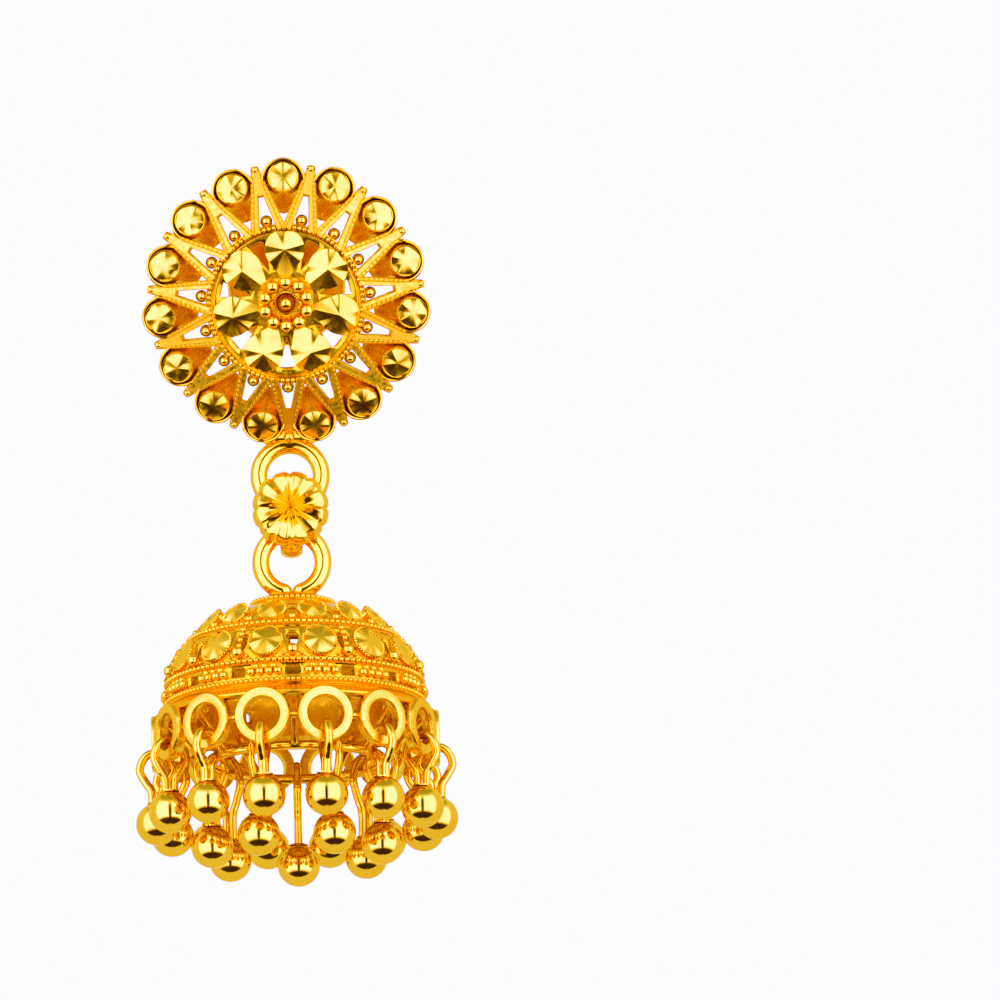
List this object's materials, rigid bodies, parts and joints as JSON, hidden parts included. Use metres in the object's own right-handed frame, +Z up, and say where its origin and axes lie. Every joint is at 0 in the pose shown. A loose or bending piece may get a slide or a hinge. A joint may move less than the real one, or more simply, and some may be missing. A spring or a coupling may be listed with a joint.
{
  "type": "jhumka earring",
  "caption": "Drop earring: a domed, pierced rosette at the ear, a fluted link on round rings and a domed bell fringed with balls on wire loops.",
  "frame": {"origin": "on the post, in the middle of the ear lobe's thickness", "axes": "+Z up as the earring hangs, the rosette's face and the link's face toward -Y, +X to the viewer's right"},
  "size_m": [0.0196, 0.0191, 0.043],
  "materials": {
    "gold": "highly polished saturated yellow gold, with orange shade in the recesses"
  },
  "bodies": {
    "stud": {"stud_rosette": "gold", "ear_post": "gold"},
    "link": {"link_rosette": "gold"},
    "bell": {"bell_dome": "gold", "drop_01": "gold", "drop_02": "gold", "drop_03": "gold", "drop_04": "gold", "drop_05": "gold", "drop_06": "gold", "drop_07": "gold", "drop_08": "gold", "drop_09": "gold", "drop_10": "gold", "drop_11": "gold", "drop_12": "gold", "drop_13": "gold", "drop_14": "gold", "inner_drop_1": "gold", "inner_drop_2": "gold", "inner_drop_3": "gold", "inner_drop_4": "gold", "inner_drop_5": "gold", "inner_drop_6": "gold", "inner_drop_7": "gold"}
  },
  "joints": [
    {"name": "link_swing", "type": "hinge", "parent": "stud", "child": "link", "pos_m": [0, 0.00013, -0.01326], "axis": [1, 0, 0], "range_deg": [-12, 35]},
    {"name": "bell_swing", "type": "hinge", "parent": "link", "child": "bell", "pos_m": [0, 0.00013, -0.01486], "axis": [0, 1, 0], "range_deg": [-15, 15]}
  ]
}
